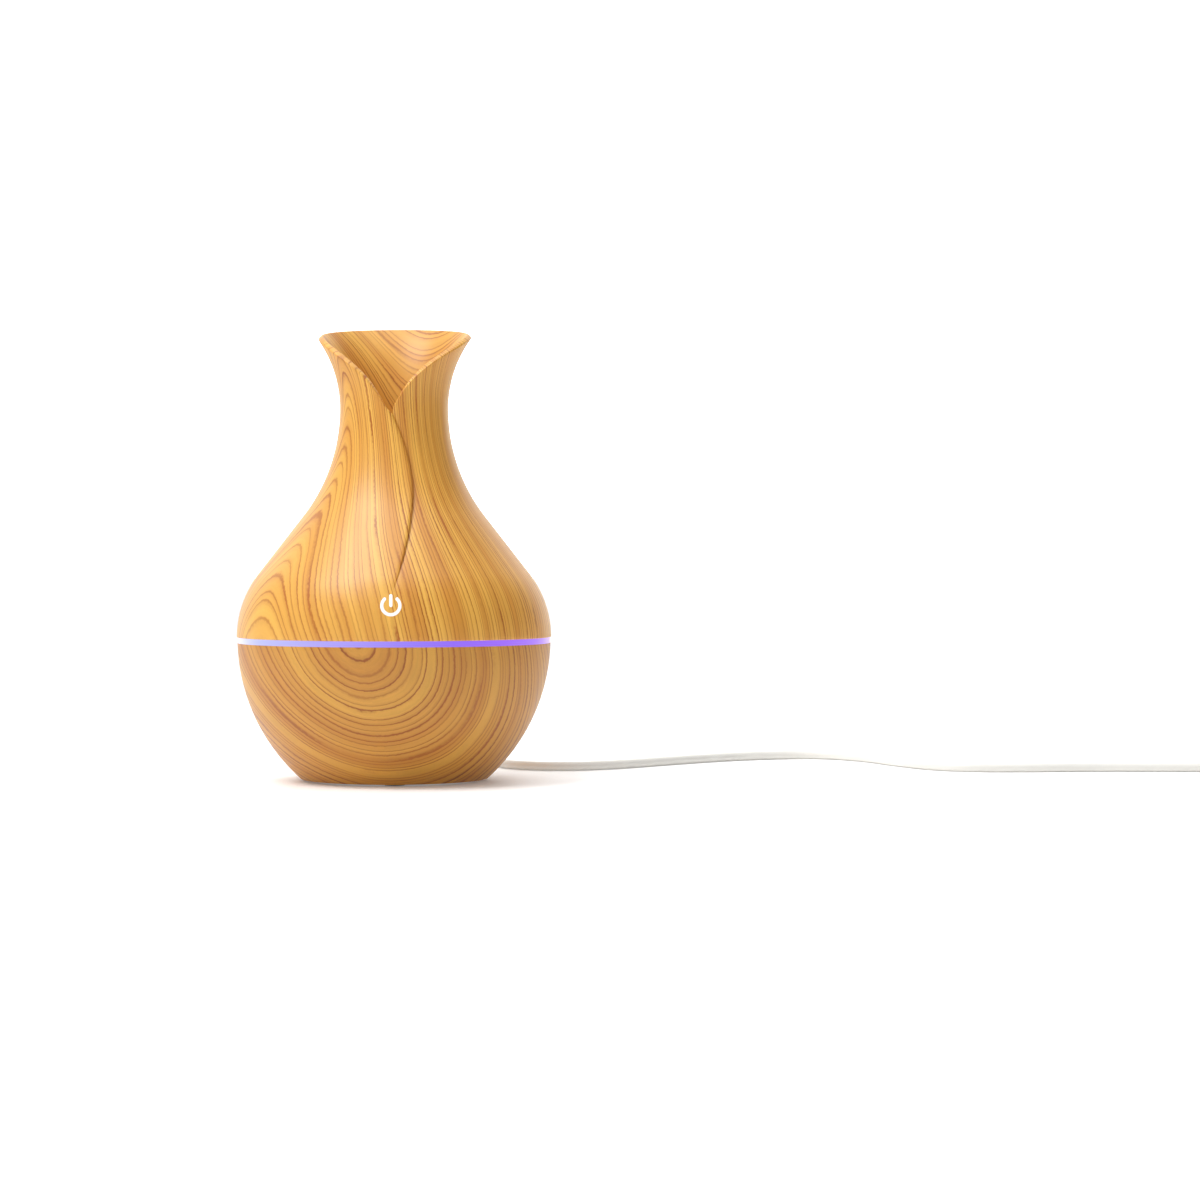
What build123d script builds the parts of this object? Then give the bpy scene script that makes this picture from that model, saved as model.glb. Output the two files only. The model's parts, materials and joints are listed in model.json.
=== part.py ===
"""Essential oil diffuser shaped like a budding vase, with its water tank, mist
maker, fan, light ring, control board and USB lead.

Millimetres, +Z up, the front faces -Y. The origin is on the table, at the centre
of the round base.
"""
from build123d import *
import os
from math import asin, cos, degrees, pi, radians, sin, sqrt, tan

os.makedirs("parts", exist_ok=True)

# ---------------------------------------------------------------- outer form
belly_radius = 50.0          # the widest place, where the cover meets the light ring
base_radius = 29.7           # the bowl's lower edge
ground_gap = 0.6             # the bowl's lower edge stands this far off the table
base_edge_round = 0.6
shell_height = 43.3          # the bowl, from its lower edge to the light ring
bowl_crown_above_rim = 1.5   # the bowl's arc is upright this far above its upper rim
shell_setback = 0.2          # the bowl is this much narrower than the cover
ring_height = 1.8            # light that shows between the bowl and the cover
ring_setback = 0.4
cover_neck_rise = 72.7       # from the cover's lower edge to the narrowest place
neck_radius = 17.2
belly_arc_radius = 33.0
side_angle = 37.85           # the straight of the cover's side leans in this far from upright
rim_radius = 28.4            # the mouth at the back
rim_back_rise = 26.9         # the mouth's back edge above the neck
rim_side_rise = 22.9         # the mouth's side corners above the neck
notch_drop = 0.8             # the front notch below the neck
notch_x = -1.5
lip_low = (3.6, 7.1)         # the lip's first bend: out from the notch, above the neck
lip_middle = (12.4, 14.4)

# ---------------------------------------------------------------- walls and fits
cover_wall = 2.0
shell_wall = 2.2
cover_clearance = 0.3        # the cover over the tank's locating step
slip_fit = 0.1               # parts that slide together by hand
pin_fit = 0.03               # screws in their pilot holes
part_gap = 0.3               # neighbours that don't touch

# ---------------------------------------------------------------- base plate and feet
plate_thickness = 2.4
plate_radius = 26.0
plate_gap = 0.2
ledge_thickness = 1.6
ledge_inner_radius = 24.0
foot_count = 4
foot_radius = 3.5
foot_circle = 21.5
foot_pocket = 0.8
vent_length = 16.0
vent_width = 2.0
vent_pitch = 4.0
vent_count = 5
vent_centre_y = -8.5

# ---------------------------------------------------------------- tank
tank_flange_width = 3.6
tank_flange_thickness = 2.0
tank_wall = 1.8
tank_floor_z = 33.0
tank_collar = 10.7           # the tank's rim above the light ring
boss_radius = 3.2
boss_circle = 20.5
boss_fan_gap = 1.1           # the screw bosses stand beside the fan
boss_hole_depth = 11.0
air_tube_y = -33.0
air_tube_bore = 5.4
air_tube_wall = 1.4
air_tube_top_drop = 2.0      # the air tube ends below the tank's rim

# ---------------------------------------------------------------- screws
base_screw_radius = 1.25
base_screw_head = 2.6
base_screw_head_height = 1.2
small_screw_radius = 0.98
small_screw_head = 1.7
small_screw_head_height = 1.2
drive_across = 1.4           # the hexagon socket in every head
drive_depth = 0.7

# ---------------------------------------------------------------- mist maker
disc_radius = 10.0
disc_thickness = 1.2
seal_height = 3.6
seal_rim = 0.6
seal_grip = 2.0              # the seal holds the disc's edge this far in
retainer_thickness = 2.0
retainer_grip = 3.0
retainer_edge = 2.1          # outside the circle of its screws
retainer_screw_count = 3
retainer_screw_turn = 90.0   # the first screw, from the side axis
retainer_screw_wall = 1.3    # between the seal and its screws
retainer_screw_length = 5.0

# ---------------------------------------------------------------- light
led_count = 12
led_board_thickness = 1.0
led_size = (1.6, 1.2, 0.8)
skirt_height = 3.2
led_gap = 0.4
led_ledge_thickness = 1.2
led_ledge_width = 1.7

# ---------------------------------------------------------------- fan
fan_size = 25.0
fan_height = 7.0
fan_y = -10.0
fan_lift = 1.6
fan_post_radius = 1.4
fan_bore = 11.6
fan_corner = 10.0
fan_spider_thickness = 1.0
fan_hub_radius = 6.6
fan_blade_radius = 11.0
fan_blade_count = 7
fan_blade_thickness = 0.8
fan_blade_chord = 4.4
fan_blade_pitch = 48.0
fan_shaft_radius = 0.75
fan_running_fit = 0.06
fan_bearing_wall = 1.0
fan_bearing_length = 3.0
fan_rotor_gap = 0.8          # the rotor above the housing's spider
fan_cup_wall = 0.8
magnet_thickness = 0.8
stator_radius = 4.5
stator_height = 2.6
duct_wall = 1.0
duct_collar = 1.6            # the duct's straight end, beside the fan's screw heads

# ---------------------------------------------------------------- control board
board_width = 44.0
board_depth = 12.0
board_thickness = 1.6
board_front_y = 16.5
board_screw_x = 18.0
board_screw_y = 25.0
board_post_radius = 2.5
jack_width = 9.0
jack_height = 11.0
jack_depth = 14.0
jack_z = 11.0                # the socket's axis
jack_face_y = 29.0
jack_drop = 5.5              # the board's lower face above the socket's axis
jack_bore_depth = 9.6
jack_pin_radius = 1.0
jack_pin_drop = 1.5          # the pin ends this far inside the socket's face
plug_surround = 1.5          # the wall round the plug's recess in the bowl
capacitor_place = (-8.8, 1.0)    # on the board, from its middle
capacitor_radius = 4.0
capacitor_height = 11.5
inductor_place = (11.0, 2.0)
inductor_radius = 4.0
inductor_core = 3.2
inductor_flange = 1.5
inductor_height = 6.0
chip_place = (0.0, 3.0)
chip_size = (5.0, 6.2, 1.6)
connector_x = 5.0
connector_width = 10.0
connector_depth = 4.0
connector_height = 5.0
wire_pitch = 2.0
wire_radius = 0.6
wire_bend = 1.2
wire_run = 2.4               # straight into the header
disc_wire_drop = 7.2         # the disc's wires pass this far under the retainer
fan_wire_run = 1.8

# ---------------------------------------------------------------- touch pad, symbol
touch_thickness = 0.6
touch_height = 6.0
touch_rise = 1.5             # above the tank's flange
touch_angle = 14.0
symbol_x = -1.1
symbol_rise = 10.9           # the symbol's centre above the cover's lower edge
symbol_radius = 3.25
symbol_stroke = 1.0
symbol_gap = 2.8
symbol_bar = 3.95
symbol_bar_low = -0.45
symbol_depth = 0.4

# ---------------------------------------------------------------- mist chimney
chimney_bore = 6.5
chimney_wall = 1.4
chimney_plate_gap = 0.6      # the plate's edge inside the neck
chimney_plate_thickness = 1.6
chimney_plate_drop = 15.8    # the plate's upper face below the neck
chimney_nozzle = 3.0
chimney_bell = 14.0
chimney_bell_height = 16.0
chimney_bell_gap = 3.5       # the bell's lower edge above the tank's rim
neck_ledge_thickness = 1.5
neck_ledge_hold = 1.4        # the ledge over the plate
cut_margin = 8.0             # cutting shapes stand this far past what they cut

# ---------------------------------------------------------------- lead and plugs
cord_diameter = 3.0
bend_share = 0.45            # how much of the shorter run beside a corner its arc may use
lying_gap = 0.05             # the lying cord above the table
barrel_radius = 2.75
barrel_bore = 1.25
barrel_wall = 0.5
barrel_length = 9.4
plug_radius = 4.3
plug_length = 14.0
plug_recess_gap = 0.5
plug_recess_floor = 1.2
relief_length = 11.0
relief_start = 3.1
relief_end = 2.2
coil_middle = (299.0, 0.0)
coil_turn_radius = 16.5      # the middle of the wound turns
coil_turns_wide = 3
coil_turns_high = 2
coil_turn_count = 5.25
coil_edge_round = 1.35
usb_width = 15.6
usb_thickness = 8.0
usb_corner = 2.0
usb_front_round = 1.2
usb_length = 21.0
usb_relief_length = 8.0
usb_relief_start = 1.8
usb_relief_end = 2.7
usb_shell_width = 12.0
usb_shell_thickness = 4.5
usb_shell_length = 11.8
usb_shell_wall = 0.4
usb_tongue_thickness = 1.9
usb_tongue_setback = 1.0

# ================================================================ worked out
shell_top = ground_gap + shell_height
seat_z = shell_top + ring_height
neck_z = seat_z + cover_neck_rise
notch_z = neck_z - notch_drop
rim_side_z = neck_z + rim_side_rise
rim_back_z = neck_z + rim_back_rise

# The bowl's side is one arc that is upright a little above its upper rim.
bowl_crown_z = shell_top + bowl_crown_above_rim
bowl_run = belly_radius - shell_setback - base_radius
bowl_rise = bowl_crown_z - ground_gap
bowl_arc_radius = (bowl_run**2 + bowl_rise**2) / (2 * bowl_run)
bowl_centre = belly_radius - shell_setback - bowl_arc_radius

# The cover's side is a belly arc and a neck arc with a straight tangent between.
belly_centre = belly_radius - belly_arc_radius
side_lean = radians(side_angle)
neck_reach = (neck_radius - belly_centre) * cos(side_lean) + cover_neck_rise * sin(side_lean)
neck_arc_radius = (neck_reach - belly_arc_radius) / (1 - cos(side_lean))
neck_centre = neck_radius + neck_arc_radius
flare_run = rim_radius - neck_radius
flare_arc_radius = (flare_run**2 + rim_back_rise**2) / (2 * flare_run)
flare_angle = degrees(asin(min(1.0, (rim_back_rise + cover_wall) / flare_arc_radius)))

bore_radius = belly_radius - cover_wall
step_radius = bore_radius - cover_clearance
tank_outer = step_radius - tank_flange_width
tank_inner = tank_outer - tank_wall
tank_under = tank_floor_z - tank_wall
tank_rim_z = seat_z + tank_collar
plate_top = ground_gap + plate_thickness
ledge_top = plate_top + ledge_thickness
rebate_radius = plate_radius + plate_gap
fan_z = plate_top + fan_lift
fan_top = fan_z + fan_height
board_z = jack_z + jack_drop
board_top = board_z + board_thickness
board_y = board_front_y + board_depth / 2
seal_z = tank_under - seal_height
retainer_z = seal_z - retainer_thickness
seal_radius = disc_radius + seal_rim
seal_opening = disc_radius - seal_grip
retainer_opening = disc_radius - retainer_grip
retainer_screw_circle = seal_radius + retainer_screw_wall + small_screw_radius
retainer_radius = retainer_screw_circle + retainer_edge
disc_z = seal_z + (seal_height - disc_thickness) / 2
ring_bore = tank_outer + part_gap
ring_radius = belly_radius - ring_setback
skirt_bottom = shell_top - skirt_height
led_top = skirt_bottom - led_gap
led_board_z = led_top - led_size[2] - led_board_thickness
plate_z = neck_z - chimney_plate_drop
bell_z = tank_rim_z + chimney_bell_gap
board_corners = [(board_screw_x, board_screw_y), (-board_screw_x, board_screw_y)]
fan_corners = [(x, fan_y + y) for x in (-fan_corner, fan_corner) for y in (-fan_corner, fan_corner)]
boss_x = fan_size / 2 + boss_fan_gap + boss_radius
boss_y = sqrt(boss_circle**2 - boss_x**2)
boss_places = [(side * boss_x, end * boss_y) for side in (-1, 1) for end in (-1, 1)]
fan_bearing_bore = fan_shaft_radius + fan_running_fit


def save(part, name):
    """Label a finished piece and write it."""
    part.label = name
    export_step(part, f"parts/{name}.step")


def bowl_radius(z, inset=0.0):
    """The bowl's radius at a height, inset from its outer side."""
    return bowl_centre + sqrt((bowl_arc_radius - inset) ** 2 - (bowl_crown_z - z) ** 2)


def bowl_outline(low, high, inset):
    """Draw the outline of the bowl's half section, from the axis to its side."""
    side_low = (bowl_radius(low, inset), low)
    side_high = (bowl_radius(high, inset), high)
    RadiusArc(side_low, side_high, -(bowl_arc_radius - inset))
    Polyline(side_high, (0, high), (0, low), side_low)


def cover_side(inset):
    """Draw the cover's side from its lower edge to above the mouth; return its ends."""
    belly = CenterArc((belly_centre, seat_z), belly_arc_radius - inset, 0, side_angle)
    neck = CenterArc((neck_centre, neck_z), neck_arc_radius + inset, 180 + side_angle, -side_angle)
    Line(belly @ 1, neck @ 0)
    flare_centre = neck_radius + flare_arc_radius
    flare = CenterArc((flare_centre, neck_z), flare_arc_radius + inset, 180, -flare_angle)
    return belly @ 0, flare @ 1


def neck_side(z, inset):
    """The cover's radius at a height above its belly, inset from its outer side."""
    arc = neck_arc_radius + inset
    arc_foot_z = neck_z - arc * sin(side_lean)
    if z > arc_foot_z:
        return neck_centre - sqrt(arc**2 - (neck_z - z) ** 2)
    return neck_centre - arc * cos(side_lean) + (arc_foot_z - z) * tan(side_lean)


def half_ring(inner, outer, low, high):
    """Draw the half section of a ring about Z."""
    with Locations(((inner + outer) / 2, (low + high) / 2)):
        Rectangle(outer - inner, high - low)


def screw_group(places, head_low, head_radius, head_height, shank_radius, shank_length):
    """Screws that point up, heads down, as one group."""
    with BuildPart() as screws:
        for place in places:
            with BuildSketch(Plane.XY.offset(head_low)):
                with Locations(place):
                    Circle(head_radius)
            extrude(amount=head_height)
            with BuildSketch(Plane.XY.offset(head_low + head_height)):
                with Locations(place):
                    Circle(shank_radius)
            extrude(amount=shank_length)
            with BuildSketch(Plane.XY.offset(head_low)):
                with Locations(place):
                    RegularPolygon(drive_across / 2, 6, major_radius=False)
            extrude(amount=drive_depth, mode=Mode.SUBTRACT)
    return screws.part


# ================================================================ base plate, feet
foot_turns = [2 * pi * number / foot_count for number in range(foot_count)]
foot_places = [(foot_circle * cos(turn), foot_circle * sin(turn)) for turn in foot_turns]

with BuildPart() as base_plate:
    with BuildSketch(Plane.XY.offset(ground_gap)):
        Circle(plate_radius)
        with Locations((0, vent_centre_y)):
            with GridLocations(vent_pitch, 0, vent_count, 1):
                SlotOverall(vent_length, vent_width, rotation=90, mode=Mode.SUBTRACT)
        with Locations(*boss_places):
            Circle(base_screw_radius + slip_fit, mode=Mode.SUBTRACT)
    extrude(amount=plate_thickness)
    with BuildSketch(Plane.XY.offset(ground_gap)):
        with Locations(*boss_places):
            Circle(base_screw_head + part_gap)
    extrude(amount=base_screw_head_height + plate_gap, mode=Mode.SUBTRACT)
    with BuildSketch(Plane.XY.offset(ground_gap)):
        with Locations(*foot_places):
            Circle(foot_radius)
    extrude(amount=foot_pocket, mode=Mode.SUBTRACT)
    with BuildSketch(Plane.XY.offset(plate_top)):
        with Locations(*fan_corners):
            Circle(fan_post_radius)
    extrude(amount=fan_lift)
    with BuildSketch(Plane.XY.offset(fan_z)):
        with Locations(*fan_corners):
            Circle(small_screw_radius + pin_fit)
    extrude(amount=-(fan_lift + plate_thickness / 2), mode=Mode.SUBTRACT)
save(base_plate.part, "base_plate")

for number, place in enumerate(foot_places, start=1):
    with BuildPart() as foot:
        with BuildSketch():
            with Locations(place):
                Circle(foot_radius)
        extrude(amount=ground_gap + foot_pocket)
        chamfer(foot.faces().sort_by(Axis.Z)[0].edges(), part_gap)
    save(foot.part, f"foot_{number}")

base_screws = screw_group(
    boss_places,
    ground_gap + plate_gap,
    base_screw_head,
    base_screw_head_height,
    base_screw_radius,
    plate_thickness + boss_hole_depth - 2 * base_screw_head_height,
)
save(base_screws, "base_screws")

# ================================================================ lower shell
plug_recess = plug_radius + plug_recess_gap
plug_face_y = jack_face_y + plug_recess_floor + slip_fit
rear = Plane(origin=(0, jack_face_y, jack_z), x_dir=(-1, 0, 0), z_dir=(0, 1, 0))

with BuildPart() as lower_shell:
    with BuildSketch(Plane.XZ):
        with BuildLine():
            bowl_outline(ground_gap, shell_top, 0)
        make_face()
    revolve(axis=Axis.Z)
    fillet(lower_shell.faces().sort_by(Axis.Z)[0].edges(), base_edge_round)
    with BuildSketch(Plane.XZ):
        with BuildLine():
            bowl_outline(ledge_top, shell_top, shell_wall)
        make_face()
    revolve(axis=Axis.Z, mode=Mode.SUBTRACT)
    with BuildSketch(Plane.XY.offset(ground_gap)):
        Circle(ledge_inner_radius)
    extrude(amount=plate_thickness + ledge_thickness, mode=Mode.SUBTRACT)
    with BuildSketch(Plane.XY.offset(ground_gap)):
        Circle(rebate_radius)
    extrude(amount=plate_thickness, mode=Mode.SUBTRACT)
    with BuildSketch(Plane.XZ):
        ledge_outer = bowl_radius(led_board_z, shell_wall)
        half_ring(
            ledge_outer - led_ledge_width,
            ledge_outer + shell_wall / 2,
            led_board_z - led_ledge_thickness,
            led_board_z,
        )
    revolve(axis=Axis.Z)
    with BuildSketch(rear):
        Circle(plug_recess + plug_surround)
    extrude(amount=belly_radius - jack_face_y)
    with BuildSketch(Plane.XZ):
        with BuildLine():
            bowl_outline(ground_gap, shell_top, 0)
        make_face()
    revolve(axis=Axis.Z, mode=Mode.INTERSECT)
    with BuildSketch(rear.offset(plug_recess_floor)):
        Circle(plug_recess)
    extrude(amount=belly_radius - jack_face_y, mode=Mode.SUBTRACT)
    with BuildSketch(rear):
        Circle(barrel_radius + plug_recess_gap)
    extrude(amount=plug_recess_floor, mode=Mode.SUBTRACT)
save(lower_shell.part, "lower_shell")

# ================================================================ light ring, lamps
with BuildPart() as light_ring:
    with BuildSketch(Plane.XZ):
        half_ring(ring_bore, ring_radius, shell_top, seat_z)
        skirt_outer = bowl_radius(skirt_bottom, shell_wall) - part_gap
        half_ring(ring_bore + plate_gap, skirt_outer, skirt_bottom, shell_top)
    revolve(axis=Axis.Z)
save(light_ring.part, "light_ring")

led_inner = ring_bore + plate_gap
led_outer = bowl_radius(led_board_z, shell_wall) - part_gap
led_circle = (led_inner + led_outer) / 2

with BuildPart() as led_board:
    with BuildSketch(Plane.XY.offset(led_board_z)):
        Circle(led_outer)
        Circle(led_inner, mode=Mode.SUBTRACT)
    extrude(amount=led_board_thickness)
save(led_board.part, "led_board")

with BuildPart() as leds:
    with BuildSketch(Plane.XY.offset(led_board_z + led_board_thickness)):
        with PolarLocations(led_circle, led_count):
            Rectangle(led_size[1], led_size[0])
    extrude(amount=led_size[2])
save(leds.part, "leds")

# ================================================================ water tank
retainer_turns = [
    radians(retainer_screw_turn + 360 * number / retainer_screw_count)
    for number in range(retainer_screw_count)
]
retainer_places = [
    (retainer_screw_circle * cos(turn), retainer_screw_circle * sin(turn)) for turn in retainer_turns
]

with BuildPart() as water_tank:
    with BuildSketch(Plane.XZ):
        half_ring(tank_inner, tank_outer, tank_under, tank_rim_z)
        half_ring(tank_outer, step_radius, seat_z, seat_z + tank_flange_thickness)
        half_ring(0, tank_inner, tank_under, tank_floor_z)
        half_ring(seal_radius + slip_fit, retainer_radius, seal_z, tank_under)
    revolve(axis=Axis.Z)
    with BuildSketch(Plane.XY.offset(plate_top)):
        with Locations(*boss_places):
            Circle(boss_radius)
    extrude(amount=tank_under - plate_top)
    with BuildSketch(Plane.XY.offset(plate_top)):
        with Locations(*boss_places):
            Circle(base_screw_radius + pin_fit)
    extrude(amount=boss_hole_depth, mode=Mode.SUBTRACT)
    with BuildSketch(Plane.XY.offset(board_top)):
        with Locations(*board_corners):
            Circle(board_post_radius)
    extrude(amount=tank_under - board_top)
    with BuildSketch(Plane.XY.offset(board_top)):
        with Locations(*board_corners):
            Circle(small_screw_radius + pin_fit)
    extrude(amount=retainer_screw_length, mode=Mode.SUBTRACT)
    with BuildSketch(Plane.XY.offset(seal_z)):
        with Locations(*retainer_places):
            Circle(small_screw_radius + pin_fit)
    extrude(amount=retainer_screw_length - retainer_thickness, mode=Mode.SUBTRACT)
    with BuildSketch(Plane.XY.offset(tank_under)):
        with Locations((0, air_tube_y)):
            Circle(air_tube_bore + air_tube_wall)
    extrude(amount=tank_rim_z - air_tube_top_drop - tank_under)
    with BuildSketch(Plane.XY.offset(tank_under)):
        with Locations((0, air_tube_y)):
            Circle(air_tube_bore)
    extrude(amount=tank_rim_z - tank_under, mode=Mode.SUBTRACT)
    with BuildSketch(Plane.XY.offset(tank_under)):
        Circle(seal_opening)
    extrude(amount=tank_wall, mode=Mode.SUBTRACT)
save(water_tank.part, "water_tank")

with BuildPart() as touch_pad:
    with BuildSketch(Plane.XZ):
        pad_low = seat_z + tank_flange_thickness + touch_rise
        half_ring(tank_outer, tank_outer + touch_thickness, pad_low, pad_low + touch_height)
    revolve(axis=Axis.Z, revolution_arc=touch_angle)
touch_plane_turn = -90 - touch_angle / 2
save(Rot(0, 0, touch_plane_turn) * touch_pad.part, "touch_pad")

# ================================================================ mist maker
with BuildPart() as transducer_disc:
    with BuildSketch(Plane.XY.offset(disc_z)):
        Circle(disc_radius)
    extrude(amount=disc_thickness)
save(transducer_disc.part, "transducer_disc")

with BuildPart() as transducer_seal:
    with BuildSketch(Plane.XZ):
        half_ring(seal_opening, seal_radius, seal_z, tank_under)
    revolve(axis=Axis.Z)
    with BuildSketch(Plane.XY.offset(disc_z)):
        Circle(disc_radius)
    extrude(amount=disc_thickness, mode=Mode.SUBTRACT)
save(transducer_seal.part, "transducer_seal")

with BuildPart() as transducer_retainer:
    with BuildSketch(Plane.XY.offset(retainer_z)):
        Circle(retainer_radius)
        Circle(retainer_opening, mode=Mode.SUBTRACT)
        with Locations(*retainer_places):
            Circle(small_screw_radius + slip_fit, mode=Mode.SUBTRACT)
    extrude(amount=retainer_thickness)
save(transducer_retainer.part, "transducer_retainer")

retainer_screws = screw_group(
    retainer_places,
    retainer_z - small_screw_head_height,
    small_screw_head,
    small_screw_head_height,
    small_screw_radius,
    retainer_screw_length - part_gap,
)
save(retainer_screws, "retainer_screws")

# ================================================================ fan
with BuildPart() as fan_housing:
    with BuildSketch(Plane.XY.offset(fan_z)):
        with Locations((0, fan_y)):
            RectangleRounded(fan_size, fan_size, small_screw_head)
            Circle(fan_bore, mode=Mode.SUBTRACT)
        with Locations(*fan_corners):
            Circle(small_screw_radius + slip_fit, mode=Mode.SUBTRACT)
    extrude(amount=fan_height)
    with BuildSketch(Plane.XY.offset(fan_z)):
        with Locations((0, fan_y)):
            Circle(stator_radius)
            Rectangle(2 * fan_bore + fan_spider_thickness, 2 * fan_spider_thickness)
            Rectangle(2 * fan_spider_thickness, 2 * fan_bore + fan_spider_thickness)
    extrude(amount=fan_spider_thickness)
    with BuildSketch(Plane.XY.offset(fan_z + fan_spider_thickness)):
        with Locations((0, fan_y)):
            Circle(fan_bearing_bore + fan_bearing_wall)
    extrude(amount=fan_bearing_length)
    with BuildSketch(Plane.XY.offset(fan_z + fan_spider_thickness)):
        with Locations((0, fan_y)):
            Circle(fan_bearing_bore)
    extrude(amount=fan_height, mode=Mode.SUBTRACT)
save(fan_housing.part, "fan_housing")

rotor_low = fan_z + fan_spider_thickness + fan_rotor_gap
rotor_top = fan_top - fan_spider_thickness

with BuildPart() as fan_stator:
    with BuildSketch(Plane.XY.offset(fan_z + fan_spider_thickness)):
        with Locations((0, fan_y)):
            Circle(stator_radius)
            Circle(fan_bearing_bore + fan_bearing_wall, mode=Mode.SUBTRACT)
    extrude(amount=stator_height)
save(fan_stator.part, "fan_stator")

with BuildPart() as fan_impeller:
    with BuildSketch(Plane.XY.offset(rotor_low)):
        Circle(fan_hub_radius)
    extrude(amount=rotor_top - rotor_low)
    blade_root = fan_hub_radius - fan_cup_wall / 2
    blade_middle = (blade_root + fan_blade_radius) / 2
    with Locations((0, 0, (rotor_low + rotor_top) / 2)):
        with PolarLocations(blade_middle, fan_blade_count):
            Box(
                fan_blade_radius - blade_root,
                fan_blade_thickness,
                fan_blade_chord,
                rotation=(fan_blade_pitch, 0, 0),
            )
    with BuildSketch(Plane.XY.offset(rotor_low)):
        Circle(fan_hub_radius - fan_cup_wall)
    extrude(amount=rotor_top - rotor_low - fan_spider_thickness, mode=Mode.SUBTRACT)
    with BuildSketch(Plane.XY.offset(rotor_low)):
        Circle(fan_shaft_radius)
    extrude(amount=rotor_top - rotor_low, mode=Mode.SUBTRACT)
save(Pos(0, fan_y, 0) * fan_impeller.part, "fan_impeller")

with BuildPart() as fan_magnet:
    with BuildSketch(Plane.XY.offset(rotor_low)):
        with Locations((0, fan_y)):
            Circle(fan_hub_radius - fan_cup_wall)
            Circle(fan_hub_radius - fan_cup_wall - magnet_thickness, mode=Mode.SUBTRACT)
    extrude(amount=rotor_top - rotor_low - fan_spider_thickness)
save(fan_magnet.part, "fan_magnet")

with BuildPart() as fan_shaft:
    with BuildSketch(Plane.XY.offset(fan_z + fan_spider_thickness + part_gap)):
        with Locations((0, fan_y)):
            Circle(fan_shaft_radius)
    extrude(amount=rotor_top - fan_z - fan_spider_thickness - part_gap)
save(fan_shaft.part, "fan_shaft")

with BuildPart() as fan_screws:
    with BuildSketch(Plane.XY.offset(fan_z - fan_lift)):
        with Locations(*fan_corners):
            Circle(small_screw_radius)
    extrude(amount=fan_height + fan_lift)
    with BuildSketch(Plane.XY.offset(fan_top)):
        with Locations(*fan_corners):
            Circle(small_screw_head - slip_fit)
    extrude(amount=small_screw_head_height)
    with BuildSketch(Plane.XY.offset(fan_top + small_screw_head_height)):
        with Locations(*fan_corners):
            RegularPolygon(drive_across / 2, 6, major_radius=False)
    extrude(amount=-drive_depth, mode=Mode.SUBTRACT)
save(fan_screws.part, "fan_screws")

with BuildPart() as air_duct:
    for fan_end, tank_end, mode in (
        (fan_bore + duct_wall / 2, air_tube_bore + duct_wall, Mode.ADD),
        (fan_bore - duct_wall / 2, air_tube_bore, Mode.SUBTRACT),
    ):
        with BuildSketch(Plane.XY.offset(fan_top)):
            with Locations((0, fan_y)):
                Circle(fan_end)
        extrude(amount=duct_collar, mode=mode)
        with BuildSketch(Plane.XY.offset(fan_top + duct_collar)):
            with Locations((0, fan_y)):
                Circle(fan_end)
        with BuildSketch(Plane.XY.offset(tank_under)):
            with Locations((0, air_tube_y)):
                Circle(tank_end)
        loft(mode=mode)
save(air_duct.part, "air_duct")

# ================================================================ control board
with BuildPart() as main_board:
    with BuildSketch(Plane.XY.offset(board_z)):
        with Locations((0, board_y)):
            Rectangle(board_width, board_depth)
        with Locations(*board_corners):
            Circle(small_screw_radius + slip_fit, mode=Mode.SUBTRACT)
    extrude(amount=board_thickness)
save(main_board.part, "main_board")

board_screws = screw_group(
    board_corners,
    board_z - small_screw_head_height,
    small_screw_head,
    small_screw_head_height,
    small_screw_radius,
    board_thickness + retainer_screw_length - part_gap,
)
save(board_screws, "board_screws")

with BuildPart() as power_jack:
    with BuildSketch(rear):
        with Locations((0, jack_drop - jack_height / 2)):
            Rectangle(jack_width, jack_height)
    extrude(amount=-jack_depth)
    with BuildSketch(rear):
        Circle(barrel_radius + slip_fit)
    extrude(amount=-jack_bore_depth, mode=Mode.SUBTRACT)
save(power_jack.part, "power_jack")

with BuildPart() as jack_pin:
    with BuildSketch(rear.offset(-jack_bore_depth)):
        Circle(jack_pin_radius)
    extrude(amount=jack_bore_depth - jack_pin_drop)
    chamfer(jack_pin.faces().sort_by(Axis.Y)[-1].edges(), part_gap)
save(jack_pin.part, "jack_pin")

with BuildPart() as capacitor:
    with BuildSketch(Plane.XY.offset(board_top)):
        with Locations((capacitor_place[0], board_y + capacitor_place[1])):
            Circle(capacitor_radius)
    extrude(amount=capacitor_height)
    fillet(capacitor.edges().sort_by(Axis.Z)[-1], part_gap)
save(capacitor.part, "capacitor")

with BuildPart() as inductor:
    with BuildSketch(Plane.XY.offset(board_top)):
        with Locations((inductor_place[0], board_y + inductor_place[1])):
            Circle(inductor_radius)
    extrude(amount=inductor_height)
    with BuildSketch(Plane.XY.offset(board_top + inductor_flange)):
        with Locations((inductor_place[0], board_y + inductor_place[1])):
            Circle(inductor_radius + part_gap)
            Circle(inductor_core, mode=Mode.SUBTRACT)
    extrude(amount=inductor_height - 2 * inductor_flange, mode=Mode.SUBTRACT)
save(inductor.part, "inductor")

with BuildPart() as control_chip:
    with BuildSketch(Plane.XY.offset(board_top)):
        with Locations((chip_place[0], board_y + chip_place[1])):
            Rectangle(chip_size[0], chip_size[1])
    extrude(amount=chip_size[2])
save(control_chip.part, "control_chip")

with BuildPart() as board_connector:
    with BuildSketch(Plane.XY.offset(board_top)):
        with Locations((connector_x, board_front_y + connector_depth / 2)):
            Rectangle(connector_width, connector_depth)
    extrude(amount=connector_height)
save(board_connector.part, "board_connector")


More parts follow.
